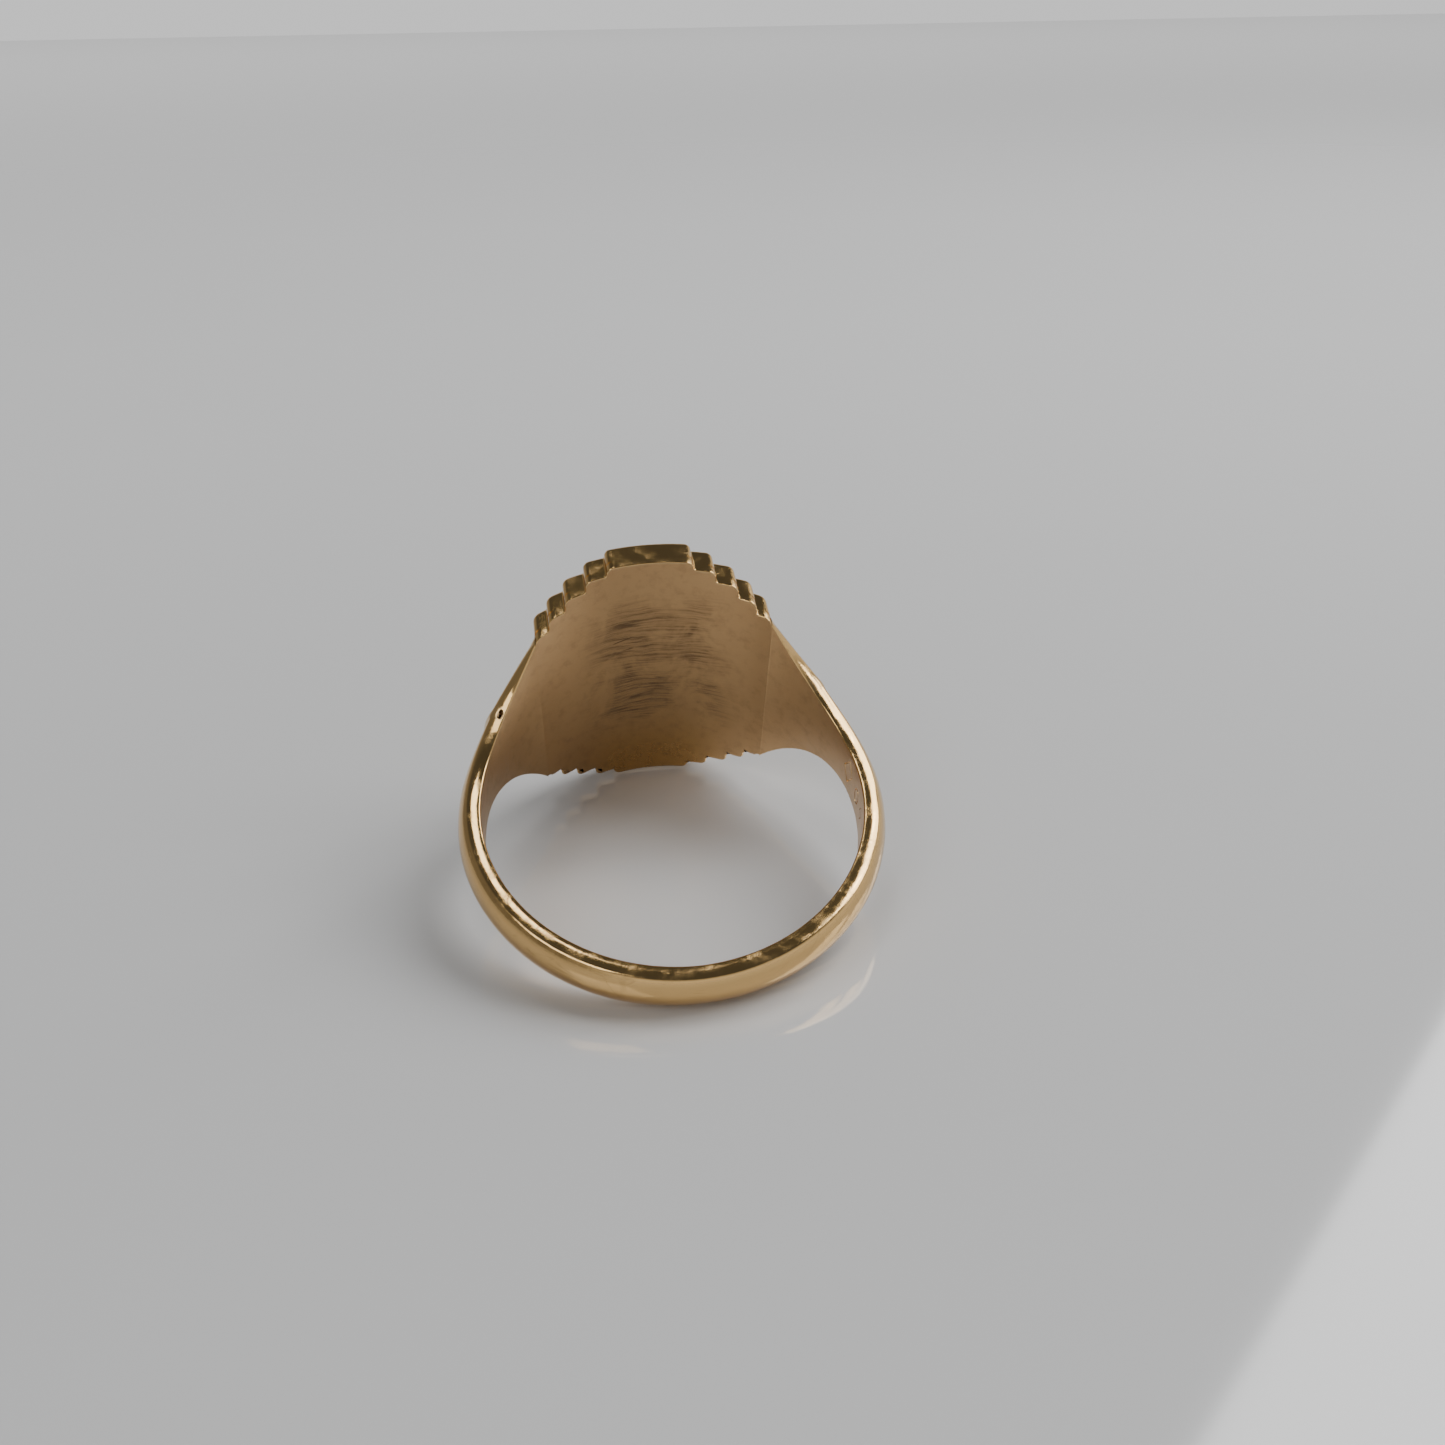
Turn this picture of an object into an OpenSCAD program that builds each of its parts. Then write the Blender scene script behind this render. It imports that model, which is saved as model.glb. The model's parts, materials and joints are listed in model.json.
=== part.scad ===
// Gold signet ring with a stepped, finger-curved head, lying on its side at rest.
// Every piece is drawn in the ring's own frame (finger axis along Z, head towards +Y)
// and laid down once: the ring then stands on the head's lower edge and on the
// lower rim at the back of the band, with the table at z = 0.

/* [Finger hole] */
// Diameter of the finger hole
finger_d = 17.9; // [14:0.1:23]

/* [Band] */
// Thickness of the band at its crown
band_t = 1.15; // [0.8:0.05:2]
// Width of the band at the back of the finger
band_w = 2.1; // [1.5:0.1:5]
// Width of the band at the sides of the finger
side_w = 2.6; // [1.8:0.1:6]
// Radius of the band's rounded outer face
band_crown_r = 4; // [3.5:0.1:12]

/* [Shoulders] */
// Angle round the finger from the middle of the head to the soldered joint
joint_angle = 55; // [52:1:66]
// Thickness of the shoulders at their crown
shoulder_t = 1.3; // [0.8:0.05:2]
// Width of each shoulder at the soldered joint
joint_w = 5.2; // [3.8:0.1:6.4]
// How far in from the head's side edge each side of a shoulder meets the head
shoulder_inset = 0.3; // [0.1:0.05:1]
// Radius of the shoulders' rounded outer face
shoulder_crown_r = 12; // [10:0.5:30]

/* [Head] */
// Length of the head along the finger
head_l = 15.6; // [12.5:0.1:20]
// Width of the head across the finger
head_w = 11.5; // [9.5:0.1:14]
// Width of each step on the head's corners, from the end bar outwards
step_treads = [1.05, 1.05, 0.85, 0.7]; // [0.4:0.05:1.2]
// Drop of each step on the head's corners, from the end bar outwards
step_drops = [0.45, 0.65, 0.7, 0.7]; // [0.3:0.05:0.9]
// Thickness of the plate that lines the head against the finger
plate_t = 0.5; // [0.3:0.05:0.8]
// Thickness of the stepped border on top of that plate
border_t = 1; // [0.7:0.05:1.6]

/* [Signet table] */
// Width of the border at the head's two ends
border_end = 2.1; // [1.6:0.1:3]
// Width of the border at the head's two sides
border_side = 2; // [1.4:0.1:3]
// Corner radius of the table and of its opening in the border
table_corner_r = 1.5; // [0.5:0.1:1.8]
// How far the table's face lies below the border's
table_recess = 0.15; // [0:0.05:0.4]
// Solder gap all round between the table and the border
table_gap = 0.03; // [0:0.01:0.1]

/* [Solder beads] */
// Length of the solder bead along the band
bead_l = 0.55; // [0.3:0.05:1.5]
// How far the bead stands above the shoulder
bead_h = 0.1; // [0.05:0.05:0.4]

/* [Hidden] */
$fn = 128;
fine_fn = 256;

gold = "#d9a75f";
solder_gold = "#e3bd82";
inner_gold = "#b98a4c";

finger_r = finger_d / 2;
bead_angle = bead_l / finger_r * 180 / PI;
shank_angle = joint_angle + bead_angle;
shoulder_angle = asin(head_w / 2 / finger_r);
// Longer than the whole ring, for cuts that go right through it
reach = 3 * finger_d;
// Overlap of two outlines that join, and the angle that a shoulder is cut back by at the head
overlap = 0.01;
head_cut_angle = 8;
// Angle on each side of the head's middle that is sure to hold the whole head
head_span = 60;

// Depth that a circle of radius r falls away at half-width h
function sag(r, h) = r - sqrt(r * r - h * h);
function total(list, n) = n == 0 ? 0 : list[n - 1] + total(list, n - 1);

// Steps of one corner: half-width and half-length of every block, end bar first
steps = len(step_treads);
bar_half_w = head_w / 2 - total(step_treads, steps);
function block_x(i) = bar_half_w + total(step_treads, i);
function block_z(i) = head_l / 2 - total(step_drops, i);
shoulder_w = 2 * (block_z(steps) - shoulder_inset);

// Resting tilt: the head's end bar and the back of the band touch the table
rim_r = finger_r + band_t - sag(band_crown_r, band_w / 2);
foot_y = sqrt(finger_r * finger_r - bar_half_w * bar_half_w);
tilt = atan2(head_l / 2 - band_w / 2, foot_y + rim_r);
lift = rim_r * sin(tilt) + band_w / 2 * cos(tilt);
front_y = (finger_r + plate_t + border_t) * cos(tilt) + head_l / 2 * sin(tilt);
back_y = -rim_r * cos(tilt) - band_w / 2 * sin(tilt);

// Concave flare that widens the band from the sides of the finger to the joint
flare_y = finger_r * cos(joint_angle);
flare_rise = (joint_w - side_w) / 2;
flare_r = (flare_y * flare_y + flare_rise * flare_rise) / (2 * flare_rise);

module lay_down() {
    translate([0, -(front_y + back_y) / 2, lift]) rotate([tilt, 0, 0]) children();
}

// Turns a half-plane section round the finger between two angles from the head's middle
module bent(from, to) {
    rotate([0, 0, 90 - to]) rotate_extrude(angle = to - from) children();
}

// Section of a strip: flat against the finger, rounded outside
module crowned_strip(thickness, width, crown_r) {
    intersection() {
        translate([finger_r, -width / 2]) square([thickness, width]);
        translate([finger_r + thickness - crown_r, 0]) circle(crown_r);
    }
}

// Side view of the band: slow taper at the back, concave flare towards the joint
module band_outline() {
    polygon([[-reach, -band_w / 2], [-finger_r, -band_w / 2], [0, -side_w / 2],
             [0, side_w / 2], [-finger_r, band_w / 2], [-reach, band_w / 2]]);
    difference() {
        translate([-overlap, -joint_w / 2]) square([flare_y + band_t, joint_w]);
        for (side = [-1, 1])
            translate([0, side * (side_w / 2 + flare_r)]) circle(flare_r, $fn = fine_fn);
    }
}

module shank() {
    color(gold) lay_down() intersection() {
        bent(shank_angle, 360 - shank_angle) crowned_strip(band_t, joint_w, band_crown_r);
        rotate([90, 0, 90]) linear_extrude(reach, center = true) band_outline();
    }
}

module right_bead() {
    bent(joint_angle, shank_angle)
        crowned_strip(shoulder_t + bead_h, joint_w, shoulder_crown_r);
}

// Straight-sided flare between the head's side and the joint, seen square on
module shoulder_outline(from, to) {
    middle = (from + to) / 2;
    inner_s = finger_r * sin(middle - from);
    outer_s = (finger_r + shoulder_t) * sin(to - middle);
    polygon([[-inner_s, -shoulder_w / 2], [outer_s, -joint_w / 2],
             [outer_s, joint_w / 2], [-inner_s, shoulder_w / 2]]);
}

module right_shoulder_solid() {
    middle = (shoulder_angle + joint_angle) / 2;
    difference() {
        intersection() {
            bent(shoulder_angle - head_cut_angle, joint_angle)
                crowned_strip(shoulder_t, shoulder_w, shoulder_crown_r);
            rotate([0, 0, 90 - middle]) rotate([90, 180, 90])
                linear_extrude(reach) shoulder_outline(shoulder_angle, joint_angle);
        }
        cube([head_w, reach, reach], center = true);
    }
}

// Front view of the head: an end bar and a flight of steps down each corner
module stepped_outline() {
    for (i = [0:steps])
        square([2 * block_x(i), 2 * block_z(i)], center = true);
}

module table_outline(inset) {
    half_w = head_w / 2 - border_side - table_corner_r;
    half_l = head_l / 2 - border_end - table_corner_r;
    square([2 * (half_w + table_corner_r - inset), 2 * half_l], center = true);
    square([2 * half_w, 2 * (half_l + table_corner_r - inset)], center = true);
    for (x = [-half_w, half_w], z = [-half_l, half_l])
        translate([x, z]) circle(table_corner_r - inset);
}

// A layer of the head between two radii, cut out along the viewing direction of its face
module head_layer(inner_r, outer_r) {
    intersection() {
        bent(-head_span, head_span) translate([inner_r, -head_l]) square([outer_r - inner_r, 2 * head_l]);
        rotate([-90, 0, 0]) linear_extrude(reach) children();
    }
}

module left_solder_bead() { color(solder_gold) lay_down() mirror([1, 0, 0]) right_bead(); }

module right_solder_bead() { color(solder_gold) lay_down() right_bead(); }

module left_shoulder() { color(gold) lay_down() mirror([1, 0, 0]) right_shoulder_solid(); }

module right_shoulder() { color(gold) lay_down() right_shoulder_solid(); }

module head_plate() {
    color(inner_gold) lay_down() head_layer(finger_r, finger_r + plate_t) stepped_outline();
}

module stepped_border() {
    color(gold) lay_down() head_layer(finger_r + plate_t, finger_r + plate_t + border_t)
        difference() {
            stepped_outline();
            table_outline(0);
        }
}

module signet_table() {
    color(gold) lay_down()
        head_layer(finger_r + plate_t, finger_r + plate_t + border_t - table_recess)
            table_outline(table_gap);
}

shank();
left_solder_bead();
right_solder_bead();
left_shoulder();
right_shoulder();
head_plate();
stepped_border();
signet_table();
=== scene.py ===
"""Signet ring: the looks of each goldsmith's piece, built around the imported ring.

Every piece is modelled at the bench in millimetres, in the ring's own frame: the finger axis
runs along Z and the head points along +Y. lay_down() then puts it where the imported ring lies.
"""

import json
import math
from types import SimpleNamespace

import bmesh
import bpy
from mathutils import Matrix, Vector


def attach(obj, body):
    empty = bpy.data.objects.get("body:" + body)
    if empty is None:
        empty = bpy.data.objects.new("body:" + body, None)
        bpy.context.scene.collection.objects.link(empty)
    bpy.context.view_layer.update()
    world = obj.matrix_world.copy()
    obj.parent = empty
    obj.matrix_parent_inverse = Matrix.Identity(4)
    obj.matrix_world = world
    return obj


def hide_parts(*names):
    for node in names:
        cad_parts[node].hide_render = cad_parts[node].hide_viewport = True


bl_info = {
    "name": "Stepped signet ring",
    "version": (1, 0, 0),
    "blender": (4, 5, 0),
    "location": "View3D > Sidebar > Signet ring",
    "description": "Builds a stepped gold signet ring piece by piece around its packed model",
    "category": "Object",
}

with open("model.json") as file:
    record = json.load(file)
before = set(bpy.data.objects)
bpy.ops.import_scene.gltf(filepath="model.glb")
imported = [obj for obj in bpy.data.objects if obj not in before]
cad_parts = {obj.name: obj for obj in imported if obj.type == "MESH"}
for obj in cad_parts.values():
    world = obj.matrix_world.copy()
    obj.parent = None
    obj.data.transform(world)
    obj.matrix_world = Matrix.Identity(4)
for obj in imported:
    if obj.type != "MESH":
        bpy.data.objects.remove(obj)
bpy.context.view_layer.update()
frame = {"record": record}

MM = 0.001
BORE = next(m for m in frame["record"]["mounts"] if m["name"] == "finger_bore")
FINGER_R = BORE["dims"]["r_mm"]
HEAD_L = BORE["dims"]["length_mm"]
CENTRE = Vector(BORE["pos_m"])
TILT = math.atan2(-BORE["axis"][1], BORE["axis"][2])
TINY = 1e-4

# Edges flatter than this are shaded smooth
SMOOTH_ANGLE = math.radians(35)
# Sections along each stretch of the hoop
SHANK_STATIONS = 96
SHOULDER_STATIONS = 30
BEAD_STATIONS = 12
# How far a shoulder is carried on behind the head's side before it is cut flush with it
SHOULDER_OVERRUN = 0.16
# Angle past a joint at which the rim has reached its height for the back of the band
RIM_SETTLES = math.radians(50)
# Spacing of the cuts that let the flat head follow the curve of the finger
FINEST_CUT = 0.43
# Width of the last strip beside the lining plate's sides, which keeps its shading true
SIDE_STRIP = 0.03
# Plain closed marks inside the band: angle, place along the finger, corners, half-sizes, depth
MARKS = (
    (82, 0.1, 4, (0.5, 0.75), 0.05),
    (91, -0.1, 24, (0.3, 0.45), 0.045),
    (98, -0.05, 4, (0.26, 0.4), 0.045),
)
# Height of the rim's middle above the finger hole where the left bead is pitted, and the pit's dirt and
# painted shade
PIT_HEIGHT = 0.25
PIT_DEPTH = 0.14
PIT_DIRT_AND_SHADE_REACH = 0.26
# Camera: turned round the head, raised and rolled in degrees; the rest is in finger radii
CAMERA_ANGLES = (-12.0, 49.0, 3.63)
CAMERA_DISTANCE = 6.658
CAMERA_SLIDE = (0.261, 0.474)
LENS = 31.14


# ---------------------------------------------------------------- sizes and finishes


def length(name, default, description):
    """A size in metres, given here in millimetres."""
    return bpy.props.FloatProperty(
        name=name, default=default * MM, min=0.0, unit="LENGTH", precision=5, description=description
    )


def colour(name, default, description):
    return bpy.props.FloatVectorProperty(
        name=name, default=default, size=3, min=0.0, max=1.0, subtype="COLOR", description=description
    )


def share(name, default, description):
    return bpy.props.FloatProperty(
        name=name, default=default, min=0.0, max=1.0, subtype="FACTOR", description=description
    )


class RING_PG_band(bpy.types.PropertyGroup):
    """Sizes of the hoop: the band, the beads and the shoulders."""

    back_t: length("Thickness at the back", 1.08, "Metal thickness at the back of the finger")
    side_t: length("Thickness at the joints", 1.2, "Thickness of the band next to a joint")
    joint_t: length("Shoulder at the joint", 1.3, "Thickness of a shoulder at the joint")
    head_t: length("Shoulder at the head", 1.45, "Thickness of a shoulder at the head")
    rim_back: length("Rim at the back", 0.6, "Height of the flat rim at the back of the finger")
    rim_joint: length("Rim at the joint", 0.58, "Height of the flat rim at the soldered joints")
    rim_head: length("Rim at the head", 0.06, "Height of the rim where a shoulder meets the head")
    rim_lean: share("Rim lean", 0.01, "Slope of the flat rim towards the finger hole")
    back_w: length("Width at the back", 2.1, "Width of the band at the back of the finger")
    side_w: length("Width at the sides", 2.6, "Width of the band at the sides of the finger")
    joint_w: length("Width at the joint", 5.3, "Width of the hoop at the soldered joints")
    shoulder_w: length("Width at the head", 10.0, "Width of a shoulder where it meets the head")
    edge_round: length("Inner edge", 0.08, "Polished rounding where the rim meets the finger hole")
    bead_l: length("Bead length", 0.55, "Length of a solder bead along the hoop")
    bead_h: length("Bead height", 0.14, "How far a solder bead stands above the shoulder")
    joint_angle: bpy.props.FloatProperty(
        name="Joint angle",
        default=math.radians(55),
        subtype="ANGLE",
        description="Angle round the finger from the middle of the head to a joint",
    )


class RING_PG_head(bpy.types.PropertyGroup):
    """Sizes of the head: its plate, its stepped border and its table."""

    width: length("Width", 11.5, "Width of the head across the finger")
    plate_t: length("Plate thickness", 0.5, "Thickness of the plate against the finger")
    border_t: length("Border thickness", 1.0, "Thickness of the stepped border on the plate")
    border_end: length("Border at the ends", 2.1, "Width of the border at the head's two ends")
    border_side: length("Border at the sides", 2.0, "Width of the border at the head's sides")
    table_corner: length("Table corner", 1.5, "Corner radius of the table")
    table_recess: length("Table recess", 0.15, "How far the table lies below the border")
    table_gap: length("Table gap", 0.03, "Solder gap round the table")
    pillow: length("Pillow", 0.28, "Rounding of the head's corners and of the border's outer edges")
    filed: length("Filed edge", 0.28, "Rounding of the lining's lower edge")
    crevice: length("Crevice", 0.1, "Fillet in the inner corners of the steps")
    treads: bpy.props.FloatVectorProperty(
        name="Treads", size=4, default=(1.05 * MM, 1.05 * MM, 0.85 * MM, 0.7 * MM), unit="LENGTH",
        description="Width of each step, from the end bar outwards",
    )
    drops: bpy.props.FloatVectorProperty(
        name="Drops", size=4, default=(0.45 * MM, 0.65 * MM, 0.7 * MM, 0.7 * MM), unit="LENGTH",
        description="Drop of each step, from the end bar outwards",
    )


class RING_PG_finish(bpy.types.PropertyGroup):
    """Colours and wear of the gold."""

    gold: colour("Gold", (0.76, 0.49, 0.2), "Colour of the polished gold")
    solder: colour("Solder", (0.77, 0.51, 0.23), "Colour of the solder beads")
    lining: colour("Lining", (0.58, 0.375, 0.185), "Colour of the satin gold against the finger")
    # The patina colour is also painted as shade in the left bead's pit.
    patina: colour("Patina", (0.07, 0.045, 0.028), "Colour of the dirt in scratches and pits")
    polish: share("Polish", 0.1, "Roughness of the polished gold")
    satin: share("Satin", 0.32, "Roughness of the satin gold")
    floor: colour("Floor", (0.62, 0.62, 0.62), "Colour of the surface that the ring lies on")


def at_bench(sizes):
    """The lengths of a property group in millimetres, and its other values as they are."""
    bench = SimpleNamespace()
    for name, prop in sizes.bl_rna.properties.items():
        if name in ("rna_type", "name"):
            continue
        value = getattr(sizes, name)
        if getattr(prop, "unit", "NONE") == "LENGTH":
            value = [v / MM for v in value] if prop.array_length else value / MM
        setattr(bench, name, value)
    return bench


# ---------------------------------------------------------------- bench tools


def start(name):
    """Names the primitive that was just added and opens it in edit mode."""
    piece = bpy.context.object
    piece.name = piece.data.name = name
    bpy.ops.object.transform_apply(location=True, rotation=True, scale=True)
    bpy.ops.object.mode_set(mode="EDIT")
    return piece


def block(name, size, centre=(0, 0, 0)):
    """A box primitive of a size at a place, open in edit mode."""
    bpy.ops.object.select_all(action="DESELECT")
    bpy.ops.mesh.primitive_cube_add(size=1, location=centre)
    bpy.context.object.scale = size
    return start(name)


def pick(kind, test):
    """Selects the vertices, edges or faces that pass a test, on the piece in edit mode."""
    bpy.ops.mesh.select_mode(type=kind)
    bpy.ops.mesh.select_all(action="DESELECT")
    mesh = bmesh.from_edit_mesh(bpy.context.edit_object.data)
    mesh.normal_update()
    parts = {"VERT": mesh.verts, "EDGE": mesh.edges, "FACE": mesh.faces}[kind]
    for part in [part for part in parts if test(part)]:
        part.select_set(True)
    mesh.select_flush_mode()
    bmesh.update_edit_mesh(bpy.context.edit_object.data)


def close_edit():
    bpy.ops.mesh.select_all(action="SELECT")
    bpy.ops.mesh.normals_make_consistent(inside=False)
    bpy.ops.object.mode_set(mode="OBJECT")
    bpy.ops.object.shade_smooth_by_angle(angle=SMOOTH_ANGLE)


def activate(piece):
    bpy.ops.object.select_all(action="DESELECT")
    piece.select_set(True)
    bpy.context.view_layer.objects.active = piece


def apply_modifier(piece, kind, **settings):
    activate(piece)
    modifier = piece.modifiers.new(kind.title(), kind)
    for name, value in settings.items():
        setattr(modifier, name, value)
    bpy.ops.object.modifier_apply(modifier=modifier.name)


def cut(piece, tool, operation="DIFFERENCE"):
    apply_modifier(piece, "BOOLEAN", object=tool, operation=operation, solver="EXACT")
    bpy.data.objects.remove(tool)


def dent(piece, angle, radius, z, size, slant=0.0):
    """Cuts a small oval pit, given its place round the finger and its half-sizes."""
    bpy.ops.object.select_all(action="DESELECT")
    place = (radius * math.sin(angle), radius * math.cos(angle), z)
    bpy.ops.mesh.primitive_ico_sphere_add(subdivisions=3, radius=1, location=place)
    tool = bpy.context.object
    tool.scale = size
    tool.rotation_euler = (0, slant, -angle)
    bpy.ops.object.transform_apply(location=True, rotation=True, scale=True)
    cut(piece, tool)


def engrave(piece, angle, z, corners, size, depth):
    """Cuts a fine closed line, such as a lozenge or an oval, into the wall of the finger hole."""
    bpy.ops.object.select_all(action="DESELECT")
    place = (FINGER_R * math.sin(angle), FINGER_R * math.cos(angle), z)
    bpy.ops.mesh.primitive_torus_add(
        major_segments=corners, minor_segments=8, major_radius=1, minor_radius=0.1, location=place
    )
    tool = bpy.context.object
    tool.scale = (*size, depth * 10)
    tool.rotation_euler = (math.radians(90), 0, -angle)
    bpy.ops.object.transform_apply(location=True, rotation=True, scale=True)
    cut(piece, tool)


def lay_down(piece):
    """Brings a piece from the bench, in millimetres, to where the ring lies, in metres."""
    activate(piece)
    piece.scale = (MM, MM, MM)
    piece.rotation_euler = (TILT, 0, 0)
    piece.location = CENTRE
    bpy.ops.object.transform_apply(location=True, rotation=True, scale=True)


def hand_over(piece, node, outside, lining=None):
    """Lays a finished piece down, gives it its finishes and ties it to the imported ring."""
    inside = [against_finger(polygon) for polygon in piece.data.polygons]
    lay_down(piece)
    piece.data.materials.clear()
    piece.data.materials.append(outside)
    if lining:
        piece.data.materials.append(lining)
        for polygon, is_inside in zip(piece.data.polygons, inside):
            polygon.material_index = int(is_inside)
    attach(piece, "root")
    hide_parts(node)


def against_finger(polygon):
    """True for a bench face that lies on the wall of the finger hole."""
    centre = polygon.center
    radius = math.hypot(centre.x, centre.y)
    inward = (centre.x * polygon.normal.x + centre.y * polygon.normal.y) < -0.9 * radius
    return inward and radius < FINGER_R + 0.02


# ---------------------------------------------------------------- shader maths


class Socket:
    """A shader value that Python arithmetic turns into Math nodes."""

    def __init__(self, sheet, output):
        self.sheet = sheet
        self.output = output

    def _maths(self, operation, *values):
        return self.sheet.node("ShaderNodeMath", {"operation": operation}, *values)

    def __add__(self, other):
        return self._maths("ADD", self, other)

    def __radd__(self, other):
        return self._maths("ADD", other, self)

    def __sub__(self, other):
        return self._maths("SUBTRACT", self, other)

    def __rsub__(self, other):
        return self._maths("SUBTRACT", other, self)

    def __mul__(self, other):
        return self._maths("MULTIPLY", self, other)

    def __rmul__(self, other):
        return self._maths("MULTIPLY", other, self)

    def __truediv__(self, other):
        return self._maths("DIVIDE", self, other)

    def __rtruediv__(self, other):
        return self._maths("DIVIDE", other, self)

    def __abs__(self):
        return self._maths("ABSOLUTE", self)

    def max(self, other):
        return self._maths("MAXIMUM", self, other)

    def root(self):
        return self._maths("SQRT", self)

    def step(self, low, high):
        """0 below low, 1 above high and smooth between them."""
        return self.sheet.node(
            "ShaderNodeMapRange", {"interpolation_type": "SMOOTHSTEP"}, self, low, high, 0.0, 1.0
        )


class Sheet:
    """A material's node sheet, with the ring's own coordinates in millimetres."""

    def __init__(self, name):
        self.material = bpy.data.materials.new(name)
        self.material.use_nodes = True
        self.tree = self.material.node_tree
        self.shader = self.tree.nodes["Principled BSDF"]
        place = self.node("ShaderNodeTexCoord", output="Object")
        bench_turn = Matrix.Rotation(-TILT, 3, "X")
        turned = self.node(
            "ShaderNodeMapping", {"vector_type": "POINT"}, place,
            tuple(-(bench_turn @ CENTRE) / MM), (-TILT, 0, 0), (1 / MM,) * 3,
        )
        self.point = turned
        split = self.tree.nodes.new("ShaderNodeSeparateXYZ")
        self.tree.links.new(turned.output, split.inputs[0])
        self.x, self.y, self.z = (Socket(self, o) for o in split.outputs)
        self.radius = (self.x * self.x + self.y * self.y).root()
        self.angle = self.node("ShaderNodeMath", {"operation": "ARCTAN2"}, self.x, self.y)
        self.along = self.angle * FINGER_R

    def node(self, kind, settings=None, *values, output=0, **named):
        """Adds a node: its settings first, then its inputs in order or by name."""
        node = self.tree.nodes.new(kind)
        for name, value in (settings or {}).items():
            setattr(node, name, value)
        for key, value in [*enumerate(values), *named.items()]:
            slot = node.inputs[key]
            if isinstance(value, Socket):
                self.tree.links.new(value.output, slot)
            else:
                slot.default_value = value
        return Socket(self, node.outputs[output])

    def vector(self, x, y, z):
        return self.node("ShaderNodeCombineXYZ", None, x, y, z)

    def noise(self, place, scale, detail=3.0, rough=0.5, distort=0.0):
        return self.node(
            "ShaderNodeTexNoise", None, Vector=place, Scale=scale, Detail=detail,
            Roughness=rough, Distortion=distort,
        )

    def cells(self, place, scale, spread=1.0):
        return self.node(
            "ShaderNodeTexVoronoi", {"feature": "F1"}, Vector=place, Scale=scale, Randomness=spread
        )

    def mix(self, factor, first, second):
        node = self.tree.nodes.new("ShaderNodeMix")
        node.data_type = "RGBA"
        for key, value in (("Factor_Float", factor), ("A_Color", first), ("B_Color", second)):
            slot = next(s for s in node.inputs if s.identifier == key)
            if isinstance(value, Socket):
                self.tree.links.new(value.output, slot)
            else:
                slot.default_value = (*value, 1.0)[:4] if key != "Factor_Float" else value
        return Socket(self, next(s for s in node.outputs if s.identifier == "Result_Color"))

    def near(self, place, reach):
        """1 close to a bench point, falling to 0 at the given reach."""
        across, forth, up = (axis - at for axis, at in zip((self.x, self.y, self.z), place))
        gap = (across * across + forth * forth + up * up).root() / reach
        return 1.0 - gap.step(0.55, 1.0)

    def feed(self, name, value):
        """Gives the shader's own socket a value or a link."""
        if isinstance(value, Socket):
            self.tree.links.new(value.output, self.shader.inputs[name])
        else:
            self.shader.inputs[name].default_value = value

    def bump(self, height, depth_mm):
        normal = self.node("ShaderNodeBump", None, Strength=1.0, Distance=depth_mm * MM, Height=height)
        self.feed("Normal", normal)


def scratches(sheet, slant, seed, pitch, thin):
    """Fine straight scratches at a slant to the hoop: contour lines of a long, thin noise."""
    lengthwise = sheet.along * math.cos(slant) + sheet.z * math.sin(slant)
    crosswise = sheet.z * math.cos(slant) - sheet.along * math.sin(slant)
    place = sheet.vector(lengthwise * 0.09 + seed, sheet.radius * 0.5, crosswise * pitch)
    line = 1.0 - abs(sheet.noise(place, 1.0, 1.0, 0.4) - 0.5).step(0.0, thin)
    patchy = sheet.noise(sheet.vector(sheet.along, seed, sheet.z), 0.8, 2.0).step(0.5, 0.66)
    return line * patchy


def polished_gold(name, tint, roughness, patina, dirt_and_shade_spots=()):
    """Polished gold: hairline scratches, slight ripples, dull worn patches, a few pits and, at given
    spots, dirt and painted shade.
    """
    sheet = Sheet(name)
    ripple = sheet.noise(sheet.point, 0.7, 2.0, 0.5)
    grain = sheet.noise(sheet.vector(sheet.along * 0.5, sheet.radius * 3.0, sheet.z * 3.0), 2.6, 4.0, 0.7)
    wear = sheet.noise(sheet.point, 1.3, 4.0, 0.6).step(0.46, 0.7)
    hairs = scratches(sheet, 0.12, 3.1, 1.6, 0.02).max(scratches(sheet, -0.5, 7.7, 1.2, 0.016) * 0.7)
    hairs = hairs.max(scratches(sheet, 1.2, 12.3, 0.9, 0.014) * 0.5)
    tone = sheet.noise(sheet.point, 0.8, 3.0, 0.6)
    base = sheet.mix(tone * 0.5, tint, tuple(c * 0.8 for c in tint))
    pits = (1.0 - sheet.cells(sheet.point, 1.5).step(0.03, 0.09)) * wear
    # Each given spot is darkened towards the patina colour: dirt and painted shade in a pit, where the
    # hollow falls into shade.
    for place, reach in dirt_and_shade_spots:
        pits = pits.max(sheet.near(place, reach) * 1.5)
    sheet.feed("Base Color", sheet.mix(pits * 0.6 + hairs * 0.25, base, patina))
    sheet.feed("Metallic", 1.0)
    sheet.feed("Roughness", roughness + wear * 0.12 + hairs * 0.12)
    sheet.bump(ripple * 0.5 + grain * wear * 0.16 - hairs * 0.06 - pits * 0.4, 0.03)
    return sheet.material


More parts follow.
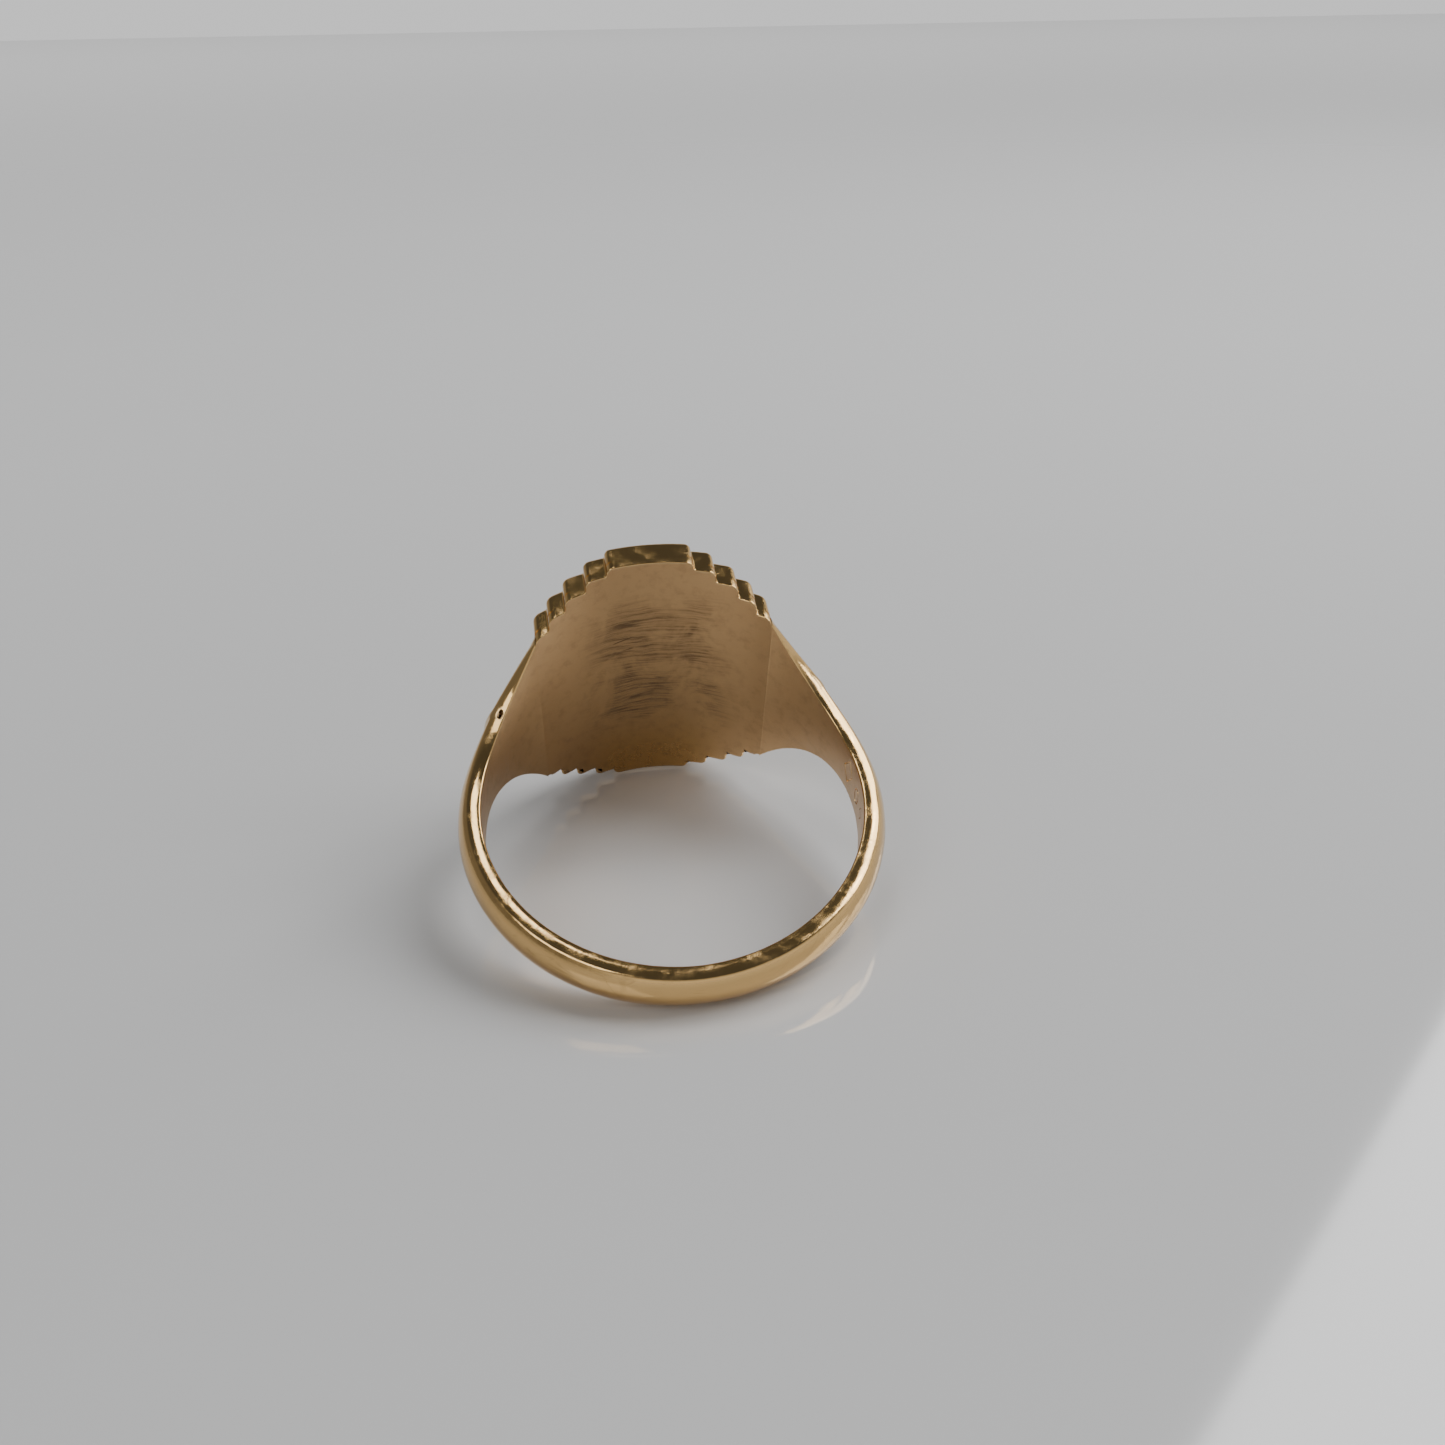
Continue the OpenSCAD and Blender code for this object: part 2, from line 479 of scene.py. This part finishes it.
def satin_gold(name, tint, roughness, patina):
    """The brushed lining: streaks round the finger, dark patina in its scratches and a painted amber
    reflection along its lower part.
    """
    sheet = Sheet(name)
    wobble = sheet.noise(sheet.vector(sheet.along, 2.0, sheet.z), 0.35, 2.0) * 0.7
    streaks = sheet.noise(sheet.vector(sheet.along * 0.3, 1.0, (sheet.z + wobble) * 6.0), 1.3, 5.0, 0.72)
    fine = sheet.noise(sheet.vector(sheet.along * 0.7, 0.0, sheet.z * 14.0), 2.4, 3.0, 0.7)
    cloud = sheet.noise(sheet.vector(sheet.along * 0.9, 5.2, sheet.z), 0.36, 4.0, 0.6, 0.5)
    middle = (1.0 - (abs(sheet.along - 0.5) / 5.4).step(0.35, 0.85))
    middle = middle * (1.0 - abs((sheet.z - 0.6) / 6.4).step(0.5, 0.9))
    patch = middle * cloud.step(0.4, 0.58)
    strokes = scratches(sheet, 0.24, 4.4, 2.0, 0.03).max(scratches(sheet, -0.1, 9.9, 2.6, 0.03))
    dirt = patch * streaks.step(0.42, 0.66).max(strokes)
    mottle = sheet.noise(sheet.vector(sheet.along, 9.0, sheet.z), 1.7, 5.0, 0.68)
    haze = patch * 0.3 + mottle.step(0.45, 0.75) * 0.28
    # Painted reflection: the lower part of the lining, away from its sides, is tinted amber and made a
    # little glossier, in place of the floor's light reflected there.
    painted_reflection_mask = (0.0 - sheet.z).step(2.0, 7.2) * (1.0 - (abs(sheet.along) / 5.5).step(0.3, 0.9))
    reflection_tinted = sheet.mix(painted_reflection_mask * 0.8, tint, (0.6, 0.37, 0.13))
    base = sheet.mix(haze, reflection_tinted, tuple(c * 0.5 for c in tint))
    sheet.feed("Base Color", sheet.mix(dirt * 0.72, base, patina))
    sheet.feed("Metallic", 1.0 - dirt * 0.2)
    sheet.feed("Roughness", roughness + dirt * 0.22 + haze * 0.1 - painted_reflection_mask * 0.06)
    sheet.bump(fine * 0.5 + streaks * 0.6 - dirt * 0.5, 0.014)
    return sheet.material


# ---------------------------------------------------------------- the hoop


class Hoop:
    """The laws that the hoop's width and rim follow round the finger, for angles in radians."""

    def __init__(self, band, head):
        self.band = band
        self.head_angle = math.asin(head.width / 2 / FINGER_R)

    def way_down(self, angle):
        """0 at the head's side and 1 at the joint."""
        return max(0.0, (angle - self.head_angle) / (self.band.joint_angle - self.head_angle))

    def half_width(self, angle):
        """Straight from the back to the sides, then a curve through the joint to the head."""
        band = self.band
        quarter = math.pi / 2
        if angle > quarter:
            share_back = (angle - quarter) / quarter
            return (band.side_w + (band.back_w - band.side_w) * share_back) / 2
        head_share = (quarter - angle) / (quarter - self.head_angle)
        joint_share = (quarter - band.joint_angle) / (quarter - self.head_angle)
        joint_rise = (band.joint_w - band.side_w) / (band.shoulder_w - band.side_w)
        steepness = math.log(joint_rise) / math.log(joint_share)
        return (band.side_w + (band.shoulder_w - band.side_w) * head_share ** steepness) / 2

    def rim(self, angle):
        """Height of the flat rim beside the finger hole."""
        band = self.band
        if angle < band.joint_angle:
            share_down = self.way_down(angle)
            return band.rim_head + (band.rim_joint - band.rim_head) * share_down ** 0.8
        share_back = min(1.0, (angle - band.joint_angle) / RIM_SETTLES)
        return band.rim_joint + (band.rim_back - band.rim_joint) * share_back

    def thickness(self, angle):
        """Thickness at the crown, with the solder's rise just past the joint."""
        band = self.band
        bead_end = band.joint_angle + band.bead_l / FINGER_R
        if angle < band.joint_angle:
            share_down = self.way_down(angle)
            return band.head_t + (band.joint_t - band.head_t) * share_down
        if angle < bead_end:
            share_down = (angle - band.joint_angle) / (bead_end - band.joint_angle)
            fall = band.joint_t + (band.side_t - band.joint_t) * share_down ** 3
            return fall + band.bead_h * math.sin(math.pi * share_down ** 1.3)
        share_back = (angle - bead_end) / (math.pi - bead_end)
        return band.side_t + (band.back_t - band.side_t) * share_back


def bend_round_finger(piece, start_angle, end_angle):
    """Bends a straight strip round the finger, so that it runs between two angles."""
    apply_modifier(
        piece, "SIMPLE_DEFORM", deform_method="BEND", deform_axis="Z", angle=start_angle - end_angle
    )
    activate(piece)
    middle = (start_angle + end_angle) / 2
    piece.rotation_euler = (0, 0, -middle)
    piece.location = (FINGER_R * math.sin(middle), FINGER_R * math.cos(middle), 0)
    bpy.ops.object.transform_apply(location=True, rotation=True, scale=True)


def hoop_strip(name, hoop, start_angle, end_angle, stations):
    """A stretch of the hoop, shaped straight, station by station, and then bent."""
    band = hoop.band
    core = 0.46
    crown_drop = core - 0.01
    top = 1.0
    run = FINGER_R * (end_angle - start_angle)
    piece = block(name, (run, top, 2 * core), (0, top / 2, 0))
    pick("EDGE", lambda e: abs(e.verts[0].co.x - e.verts[1].co.x) > run / 2)
    bpy.ops.mesh.subdivide(number_cuts=stations - 1)
    pick("EDGE", lambda e: runs_along(e) and at_corner(e, top, core))
    bpy.ops.mesh.bevel(offset=crown_drop, segments=9, profile=0.42, affect="EDGES")
    for i in range(stations + 1):
        shape_station(hoop, run, i / stations, start_angle, end_angle, top, core, crown_drop)
    pick("EDGE", lambda e: runs_along(e) and max(abs(v.co.y) for v in e.verts) < TINY)
    bpy.ops.mesh.bevel(offset=band.edge_round, segments=3, profile=0.5, affect="EDGES")
    close_edit()
    bend_round_finger(piece, start_angle, end_angle)
    return piece


def runs_along(edge):
    return abs(edge.verts[0].co.x - edge.verts[1].co.x) > TINY


def at_corner(edge, top, core):
    """True for an edge at the top and at one side of a straight strip."""
    return all(v.co.y > top - TINY and abs(v.co.z) > core - TINY for v in edge.verts)


def shape_station(hoop, run, way, start_angle, end_angle, top, core, crown_drop):
    """Gives one section of a straight strip its width, crown, rim and lean."""
    x = run * (way - 0.5)
    angle = start_angle + (end_angle - start_angle) * way
    angle = min(angle, 2 * math.pi - angle)
    thick = hoop.thickness(angle)
    rim = hoop.rim(angle)
    half_width = hoop.half_width(angle)
    crown_from = top - crown_drop - TINY
    pick("VERT", lambda v: abs(v.co.x - x) < TINY)
    bpy.ops.transform.resize(value=(1, 1, half_width / core), center_override=(x, 0, 0))
    pick("VERT", lambda v: abs(v.co.x - x) < TINY and v.co.y > crown_from)
    deepen = (thick - rim) / crown_drop
    bpy.ops.transform.resize(value=(1, deepen, 1), center_override=(x, top, 0))
    bpy.ops.transform.translate(value=(0, thick - top, 0))
    pick("VERT", lambda v: abs(v.co.x - x) < TINY and abs(v.co.y) < TINY)
    lean_in = 1 - rim * hoop.band.rim_lean / half_width
    bpy.ops.transform.resize(value=(1, 1, lean_in), center_override=(x, 0, 0))


def mirrored(piece, name):
    """A copy of a piece on the other side of the ring, with its faces turned outwards."""
    twin = piece.copy()
    twin.data = piece.data.copy()
    twin.name = twin.data.name = name
    bpy.context.collection.objects.link(twin)
    activate(twin)
    bpy.ops.transform.mirror(constraint_axis=(True, False, False), center_override=(0, 0, 0))
    bpy.ops.object.transform_apply(location=True, rotation=True, scale=True)
    bpy.ops.object.mode_set(mode="EDIT")
    bpy.ops.mesh.select_all(action="SELECT")
    bpy.ops.mesh.normals_make_consistent(inside=False)
    bpy.ops.object.mode_set(mode="OBJECT")
    return twin


# ---------------------------------------------------------------- the head


class Steps:
    """The stepped outline of the head, seen square on."""

    def __init__(self, head):
        self.xs = []
        self.zs = []
        x = head.width / 2 - sum(head.treads)
        z = HEAD_L / 2
        self.xs.append(x)
        self.zs.append(z)
        for tread, drop in zip(head.treads, head.drops):
            x += tread
            z -= drop
            self.xs.append(x)
            self.zs.append(z)

    def holds(self, x, z):
        return any(abs(x) < bx and abs(z) < bz for bx, bz in zip(self.xs, self.zs))

    def cuts(self, finest):
        """Places across the head for its cuts: every step, and more between for the curve."""
        edges = sorted({round(s * x, 6) for x in self.xs for s in (-1, 1)})
        places = []
        for low, high in zip(edges, edges[1:]):
            count = math.ceil((high - low) / finest)
            places += [low + (high - low) * i / count for i in range(count)]
        return places[1:]


def bisect_at(axis, places):
    normal = [0, 0, 0]
    normal[axis] = 1
    for place in places:
        at = [0, 0, 0]
        at[axis] = place
        bpy.ops.mesh.select_all(action="SELECT")
        bpy.ops.mesh.bisect(plane_co=at, plane_no=normal)


def stepped_blank(name, steps, thickness):
    """The stepped outline as a flat plate, open in edit mode."""
    bpy.ops.object.select_all(action="DESELECT")
    bpy.ops.mesh.primitive_plane_add(size=1, rotation=(math.radians(-90), 0, 0))
    bpy.context.object.scale = (2 * steps.xs[-1], 2 * steps.zs[0], 1)
    piece = start(name)
    bisect_at(0, steps.cuts(FINEST_CUT))
    last_corner = steps.zs[-1] - FINEST_CUT
    bisect_at(2, [side * z for z in (*steps.zs[1:], last_corner) for side in (-1, 1)])
    pick("FACE", lambda f: not steps.holds(f.calc_center_median().x, f.calc_center_median().z))
    bpy.ops.mesh.delete(type="FACE")
    bpy.ops.mesh.select_all(action="SELECT")
    bpy.ops.mesh.extrude_region_move(TRANSFORM_OT_translate={"value": (0, thickness, 0)})
    bpy.ops.mesh.select_all(action="SELECT")
    bpy.ops.mesh.normals_make_consistent(inside=False)
    return piece


def round_corners(convex, concave, segments=4):
    """Rounds the upright corners of the flat blank in edit mode."""
    pick("EDGE", lambda e: is_upright(e) and e.is_convex and e.calc_face_angle(0) > 1)
    bpy.ops.mesh.bevel(offset=convex, segments=segments, affect="EDGES")
    pick("EDGE", lambda e: is_upright(e) and not e.is_convex and e.calc_face_angle(0) > 1)
    bpy.ops.mesh.bevel(offset=concave, segments=segments, affect="EDGES")


def is_upright(edge):
    return abs(edge.verts[0].co.y - edge.verts[1].co.y) > TINY


def wrap_round_finger(piece, inner_r, outer_r):
    """Wraps a flat piece round the finger: its back to the inner radius, its face to the outer."""
    activate(piece)
    bpy.ops.object.mode_set(mode="EDIT")
    mesh = bmesh.from_edit_mesh(piece.data)
    columns = sorted({round(v.co.x, 3) for v in mesh.verts})
    for x in columns:
        pick("VERT", lambda v: round(v.co.x, 3) == x)
        back = math.sqrt(inner_r * inner_r - x * x)
        face = math.sqrt(outer_r * outer_r - x * x)
        stretch = (face - back) / (outer_r - inner_r)
        bpy.ops.transform.resize(value=(1, stretch, 1), center_override=(0, 0, 0))
        bpy.ops.transform.translate(value=(0, back, 0))
    close_edit()
    apply_modifier(piece, "WEIGHTED_NORMAL", mode="FACE_AREA", weight=50, keep_sharp=True)


def is_wall(face):
    return abs(face.normal.y) < 0.25


def rim_edge(edge, outward):
    """An edge between a wall and the face that looks outwards, or towards the finger."""
    if len(edge.link_faces) != 2:
        return False
    walls = [f for f in edge.link_faces if is_wall(f)]
    faces = [f for f in edge.link_faces if not is_wall(f)]
    return len(walls) == 1 and faces[0].normal.y * outward > 0.4


def rounded_box(name, width, tall, low_y, high_y, corner):
    """A box with rounded upright corners, used to cut the table's opening and its outline."""
    piece = block(name, (width, high_y - low_y, tall), (0, (low_y + high_y) / 2, 0))
    pick("EDGE", is_upright)
    bpy.ops.mesh.bevel(offset=corner, segments=10, affect="EDGES")
    close_edit()
    return piece


# ---------------------------------------------------------------- operators


class PieceMaker:
    """What every piece's operator shares."""

    bl_options = {"REGISTER", "UNDO"}

    def sizes(self, context):
        return at_bench(context.scene.ring_band), at_bench(context.scene.ring_head)

    def polish(self, context):
        finish = context.scene.ring_finish
        made = bpy.data.materials.get("worn_polish")
        return made or polished_gold(
            "worn_polish", tuple(finish.gold), finish.polish, tuple(finish.patina)
        )

    def lining(self, context):
        finish = context.scene.ring_finish
        made = bpy.data.materials.get("brushed_lining")
        return made or satin_gold(
            "brushed_lining", tuple(finish.lining), finish.satin, tuple(finish.patina)
        )


class RING_OT_shank(PieceMaker, bpy.types.Operator):
    """Models the tapered half-round band"""

    bl_idname = "ring.shank"
    bl_label = "Shank"

    def execute(self, context):
        band, head = self.sizes(context)
        from_angle = band.joint_angle + band.bead_l / FINGER_R
        to_angle = 2 * math.pi - from_angle
        piece = hoop_strip("shank_band", Hoop(band, head), from_angle, to_angle, SHANK_STATIONS)
        for angle, z, corners, size, depth in MARKS:
            engrave(piece, math.radians(angle), z, corners, size, depth)
        bpy.ops.object.shade_smooth_by_angle(angle=SMOOTH_ANGLE)
        hand_over(piece, "shank", self.polish(context), self.lining(context))
        return {"FINISHED"}


class RING_OT_shoulders(PieceMaker, bpy.types.Operator):
    """Models the two flared shoulders"""

    bl_idname = "ring.shoulders"
    bl_label = "Shoulders"

    def execute(self, context):
        band, head = self.sizes(context)
        hoop = Hoop(band, head)
        from_angle = hoop.head_angle - SHOULDER_OVERRUN
        right = hoop_strip("shoulder_right", hoop, from_angle, band.joint_angle, SHOULDER_STATIONS)
        activate(right)
        bpy.ops.object.mode_set(mode="EDIT")
        bpy.ops.mesh.select_all(action="SELECT")
        bpy.ops.mesh.bisect(
            plane_co=(head.width / 2, 0, 0), plane_no=(1, 0, 0), use_fill=True, clear_inner=True
        )
        close_edit()
        left = mirrored(right, "shoulder_left")
        for piece, node in ((right, "right_shoulder"), (left, "left_shoulder")):
            hand_over(piece, node, self.polish(context), self.lining(context))
        return {"FINISHED"}


class RING_OT_beads(PieceMaker, bpy.types.Operator):
    """Models the solder beads that join the shoulders to the band"""

    bl_idname = "ring.beads"
    bl_label = "Solder beads"

    def execute(self, context):
        band, head = self.sizes(context)
        finish = context.scene.ring_finish
        end_angle = band.joint_angle + band.bead_l / FINGER_R
        hoop = Hoop(band, head)
        right = hoop_strip("bead_right", hoop, band.joint_angle, end_angle, BEAD_STATIONS)
        left = mirrored(right, "bead_left")
        middle = -(band.joint_angle + end_angle) / 2
        upper_rim = hoop.half_width(-middle)
        pit_r = FINGER_R + PIT_HEIGHT
        pit = (pit_r * math.sin(middle), pit_r * math.cos(middle), upper_rim - PIT_DEPTH)
        # The left bead's pit is darkened with the patina colour: dirt and painted shade in the hollow.
        solder = polished_gold(
            "pitted_solder", tuple(finish.solder), finish.polish + 0.06, tuple(finish.patina),
            [(pit, PIT_DIRT_AND_SHADE_REACH)],
        )
        dent(left, middle - 0.003, pit_r - 0.02, upper_rim, (0.23, 0.08, 0.22), 0.2)
        dent(left, middle + 0.011, pit_r + 0.05, upper_rim, (0.13, 0.08, 0.2), -0.3)
        dent(right, -middle, FINGER_R + 1.05, upper_rim * 0.55, (0.12, 0.05, 0.1), 0.2)
        for piece, node in ((right, "right_solder_bead"), (left, "left_solder_bead")):
            hand_over(piece, node, solder, self.lining(context))
        return {"FINISHED"}


class RING_OT_head_plate(PieceMaker, bpy.types.Operator):
    """Models the curved plate that lines the head"""

    bl_idname = "ring.head_plate"
    bl_label = "Head plate"

    def execute(self, context):
        band, head = self.sizes(context)
        piece = stepped_blank("head_lining", Steps(head), head.plate_t)
        round_corners(head.pillow + 0.06, head.crevice)
        side = head.width / 2 - TINY
        for end, rounding in ((1, band.edge_round), (-1, head.filed)):
            pick("EDGE", lambda e: rim_edge(e, -1) and min(abs(v.co.x) for v in e.verts) < side
                 and e.verts[0].co.z * end > 0)
            bpy.ops.mesh.bevel(offset=rounding, segments=3, affect="EDGES")
        bisect_at(0, [end * (side - SIDE_STRIP) for end in (-1, 1)])
        bpy.ops.object.mode_set(mode="OBJECT")
        wrap_round_finger(piece, FINGER_R, FINGER_R + head.plate_t)
        hand_over(piece, "head_plate", self.polish(context), self.lining(context))
        return {"FINISHED"}


class RING_OT_border(PieceMaker, bpy.types.Operator):
    """Models the stepped border with its pillowed outer edge"""

    bl_idname = "ring.border"
    bl_label = "Stepped border"

    def execute(self, context):
        band, head = self.sizes(context)
        inner_r = FINGER_R + head.plate_t
        outer_r = inner_r + head.border_t
        piece = stepped_blank("step_border", Steps(head), head.border_t)
        round_corners(head.pillow, head.crevice)
        pick("EDGE", lambda e: rim_edge(e, 1))
        bpy.ops.mesh.bevel(offset=head.pillow * 0.85, segments=5, profile=0.5, affect="EDGES")
        bpy.ops.object.mode_set(mode="OBJECT")
        opening = rounded_box(
            "table_opening", head.width - 2 * head.border_side, HEAD_L - 2 * head.border_end,
            -1, head.border_t + 1, head.table_corner,
        )
        cut(piece, opening)
        wrap_round_finger(piece, inner_r, outer_r)
        hand_over(piece, "stepped_border", self.polish(context))
        return {"FINISHED"}


class RING_OT_table(PieceMaker, bpy.types.Operator):
    """Models the plain polished table"""

    bl_idname = "ring.table"
    bl_label = "Signet table"

    def execute(self, context):
        band, head = self.sizes(context)
        inner_r = FINGER_R + head.plate_t
        outer_r = inner_r + head.border_t - head.table_recess
        piece = stepped_blank("table_blank", Steps(head), outer_r - inner_r)
        bpy.ops.object.mode_set(mode="OBJECT")
        outline = rounded_box(
            "table_outline", head.width - 2 * (head.border_side + head.table_gap),
            HEAD_L - 2 * (head.border_end + head.table_gap), -1, head.border_t + 1,
            head.table_corner - head.table_gap,
        )
        cut(piece, outline, "INTERSECT")
        wrap_round_finger(piece, inner_r, outer_r)
        hand_over(piece, "signet_table", self.polish(context))
        return {"FINISHED"}


class RING_OT_stage(bpy.types.Operator):
    """Sets the pale floor, the soft lights and the camera"""

    bl_idname = "ring.stage"
    bl_label = "Stage"

    def execute(self, context):
        finish = context.scene.ring_finish
        self.floor(finish)
        self.lights(context)
        self.camera(context)
        return {"FINISHED"}

    def floor(self, finish):
        bpy.ops.object.select_all(action="DESELECT")
        bpy.ops.mesh.primitive_plane_add(size=12, location=(0, 0, 0))
        floor = start("floor")
        bpy.ops.object.mode_set(mode="OBJECT")
        material = bpy.data.materials.new("floor_lacquer")
        material.use_nodes = True
        shader = material.node_tree.nodes["Principled BSDF"]
        shader.inputs["Base Color"].default_value = (*finish.floor, 1)
        shader.inputs["Roughness"].default_value = 0.07
        shader.inputs["IOR"].default_value = 1.75
        floor.data.materials.append(material)

    def lights(self, context):
        self.room(context)
        centre = Vector((0, 0, 0.006))
        towards = Vector((0.66, 0.12, 0.74)).normalized()
        across = towards.cross(Vector((0, 0, 1))).normalized()
        for pane in (-1, 0, 1):
            self.lamp(context, f"window_{pane + 2}", centre, towards * 0.5 + across * pane * 0.13,
                      (0.115, 0.36), 0.8)
        self.lamp(context, "ceiling", centre, Vector((-0.05, 0.122, 0.482)), (0.13, 0.12), 0.24)
        self.lamp(context, "bounce", centre, Vector((-0.42, -0.38, 0.6)), (0.45, 0.4), 1.5)

    def lamp(self, context, name, centre, place, size, power):
        data = bpy.data.lights.new(name, "AREA")
        data.shape = "RECTANGLE"
        data.size, data.size_y = size
        data.energy = power
        lamp = bpy.data.objects.new(name, data)
        context.scene.collection.objects.link(lamp)
        lamp.location = centre + place
        lamp.rotation_euler = (-place).to_track_quat("-Z", "Y").to_euler()

    def room(self, context):
        """A room with light walls, darker overhead and to the left."""
        world = bpy.data.worlds.new("soft_room")
        context.scene.world = world
        world.use_nodes = True
        tree = world.node_tree
        place = tree.nodes.new("ShaderNodeTexCoord")
        split = tree.nodes.new("ShaderNodeSeparateXYZ")
        tree.links.new(place.outputs["Generated"], split.inputs[0])
        shade = (0.8, 0.8, 0.8)
        overhead = ("Z", 0.2, 0.7, (0.085, 0.09, 0.095))
        leftward = ("X", -0.35, -0.8, (0.2, 0.2, 0.2))
        for axis, low, high, dark in (overhead, leftward):
            spread = tree.nodes.new("ShaderNodeMapRange")
            spread.interpolation_type = "SMOOTHSTEP"
            spread.inputs["From Min"].default_value = low
            spread.inputs["From Max"].default_value = high
            tree.links.new(split.outputs[axis], spread.inputs["Value"])
            mixed = tree.nodes.new("ShaderNodeMix")
            mixed.data_type = "RGBA"
            tree.links.new(spread.outputs[0], mixed.inputs[0])
            light_input, dark_input = (i for i in mixed.inputs if i.type == "RGBA")
            dark_input.default_value = (*dark, 1)
            if isinstance(shade, tuple):
                light_input.default_value = (*shade, 1)
            else:
                tree.links.new(shade, light_input)
            shade = next(o for o in mixed.outputs if o.type == "RGBA")
        tree.links.new(shade, tree.nodes["Background"].inputs["Color"])

    def camera(self, context):
        data = bpy.data.cameras.new("camera")
        data.sensor_width = 36.0
        data.lens = LENS
        data.clip_start = 0.001
        camera = bpy.data.objects.new("camera", data)
        context.scene.collection.objects.link(camera)
        context.scene.camera = camera
        azimuth, elevation, roll = (math.radians(a) for a in CAMERA_ANGLES)
        distance = CAMERA_DISTANCE * FINGER_R
        slide_right, slide_up = (slide * FINGER_R for slide in CAMERA_SLIDE)
        back = Vector(
            (math.sin(azimuth) * math.cos(elevation), -math.cos(azimuth) * math.cos(elevation),
             math.sin(elevation))
        )
        level = (-back).cross(Vector((0, 0, 1))).normalized()
        upright = level.cross(-back)
        right = math.cos(roll) * level + math.sin(roll) * upright
        up = -math.sin(roll) * level + math.cos(roll) * upright
        turn = Matrix.Rotation(TILT, 3, "X")
        place = turn @ (back * distance + right * slide_right + up * slide_up)
        camera.location = CENTRE + place * MM
        axes = Matrix((turn @ right, turn @ up, turn @ back)).transposed()
        camera.rotation_euler = axes.to_euler()


PIECES = (RING_OT_shank, RING_OT_shoulders, RING_OT_beads, RING_OT_head_plate, RING_OT_border,
          RING_OT_table, RING_OT_stage)


class RING_PT_panel(bpy.types.Panel):
    """Lists the ring's sizes, its finishes and a button for each piece"""

    bl_idname = "RING_PT_panel"
    bl_label = "Signet ring"
    bl_space_type = "VIEW_3D"
    bl_region_type = "UI"
    bl_category = "Signet ring"

    def draw(self, context):
        for group in ("ring_band", "ring_head", "ring_finish"):
            sizes = getattr(context.scene, group)
            box = self.layout.box()
            for name in sizes.bl_rna.properties.keys():
                if name not in ("rna_type", "name"):
                    box.prop(sizes, name)
        for piece in PIECES:
            self.layout.operator(piece.bl_idname)


GROUPS = {"ring_band": RING_PG_band, "ring_head": RING_PG_head, "ring_finish": RING_PG_finish}
CLASSES = (*GROUPS.values(), *PIECES, RING_PT_panel)


def register():
    for made in CLASSES:
        bpy.utils.register_class(made)
    for name, group in GROUPS.items():
        setattr(bpy.types.Scene, name, bpy.props.PointerProperty(type=group))


def unregister():
    for name in GROUPS:
        delattr(bpy.types.Scene, name)
    for made in reversed(CLASSES):
        bpy.utils.unregister_class(made)


def main():
    register()
    bpy.ops.ring.stage()
    bpy.ops.ring.shank()
    bpy.ops.ring.shoulders()
    bpy.ops.ring.beads()
    bpy.ops.ring.head_plate()
    bpy.ops.ring.border()
    bpy.ops.ring.table()


if __name__ == "__main__":
    main()
